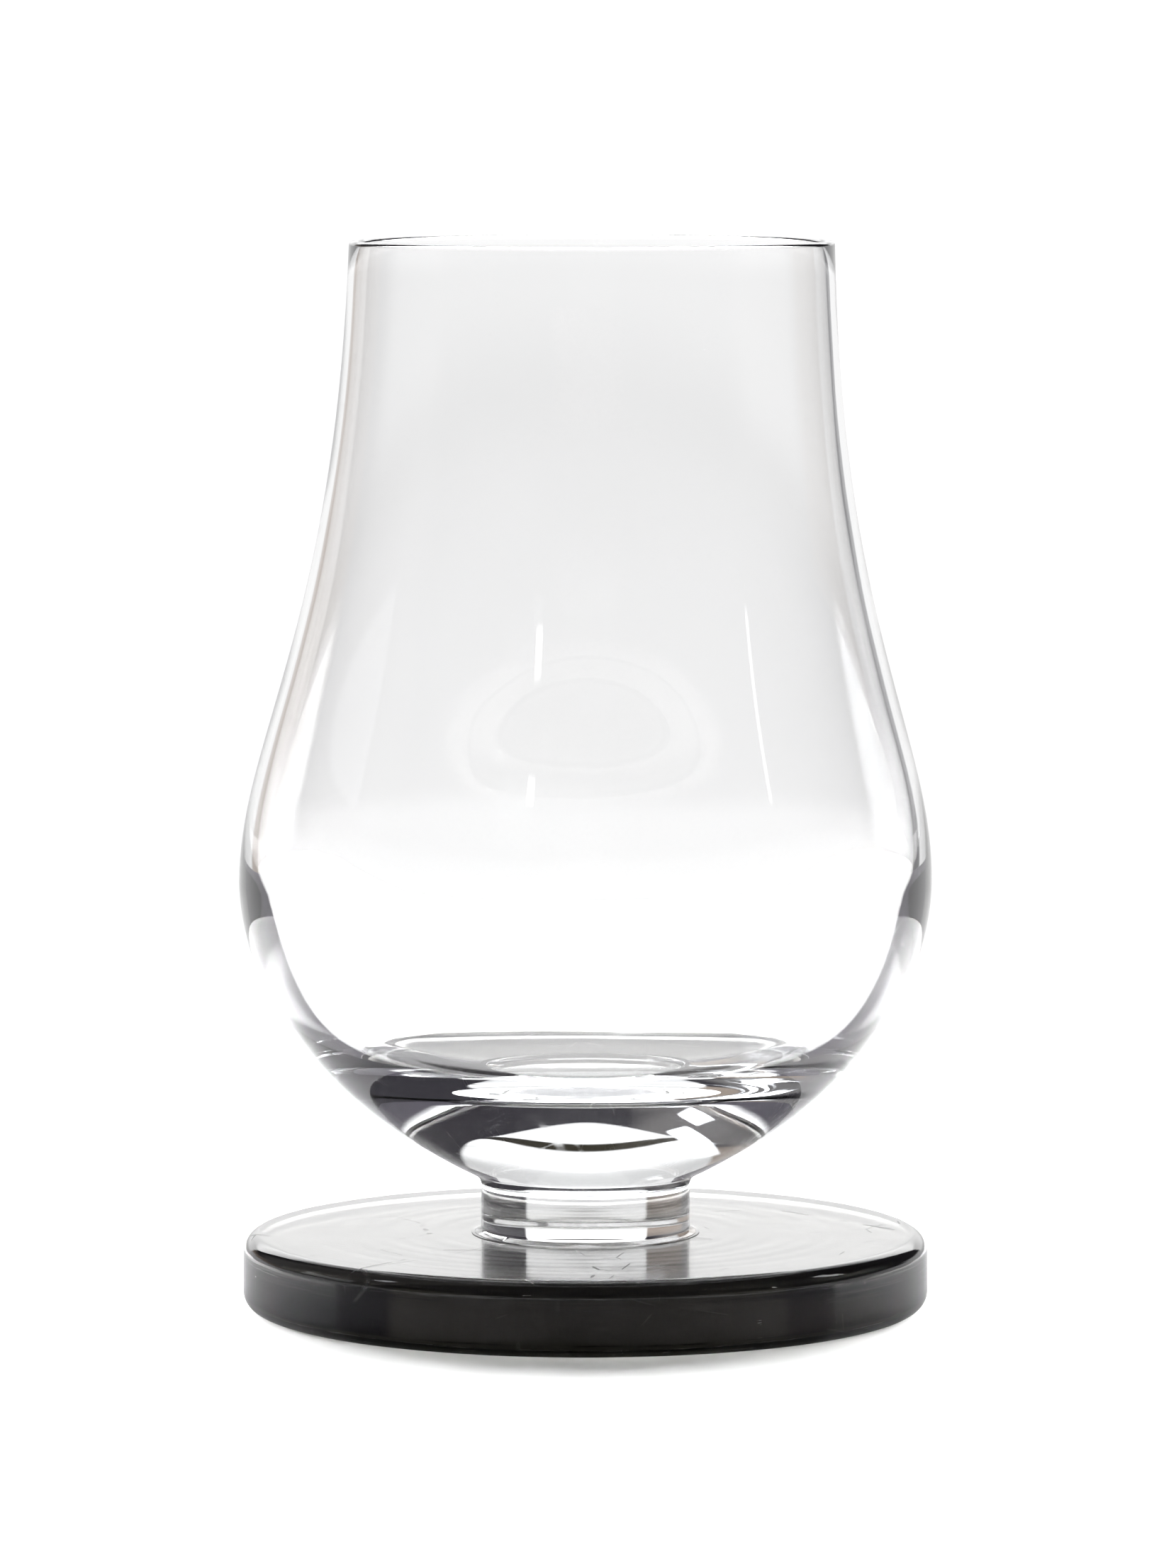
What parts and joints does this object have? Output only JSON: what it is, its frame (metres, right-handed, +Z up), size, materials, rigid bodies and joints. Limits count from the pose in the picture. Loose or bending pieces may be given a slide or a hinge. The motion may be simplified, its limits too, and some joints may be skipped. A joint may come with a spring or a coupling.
{
  "type": "whiskey tumbler",
  "caption": "Footed whiskey tumbler: clear thick-based glass bowl with a wide belly and narrowing mouth, on a short clear stem bonded to a smoke-grey glass disc foot.",
  "frame": {"origin": "centre of the foot's flat underside, on the surface that the glass stands on", "axes": "+Z up along the glass's axis of rotation, towards the mouth; X and Y are level and interchangeable"},
  "size_m": [0.0808, 0.0808, 0.1244],
  "materials": {
    "bowl_glass": "clear, fire-polished",
    "stem_glass": "clear, fire-polished",
    "bond_resin": "clear cured resin",
    "smoke_glass": "smoke-grey, polished"
  },
  "bodies": {
    "root": {"bowl": "bowl_glass", "stem": "stem_glass", "bond_film": "bond_resin", "foot": "smoke_glass"}
  },
  "joints": []
}
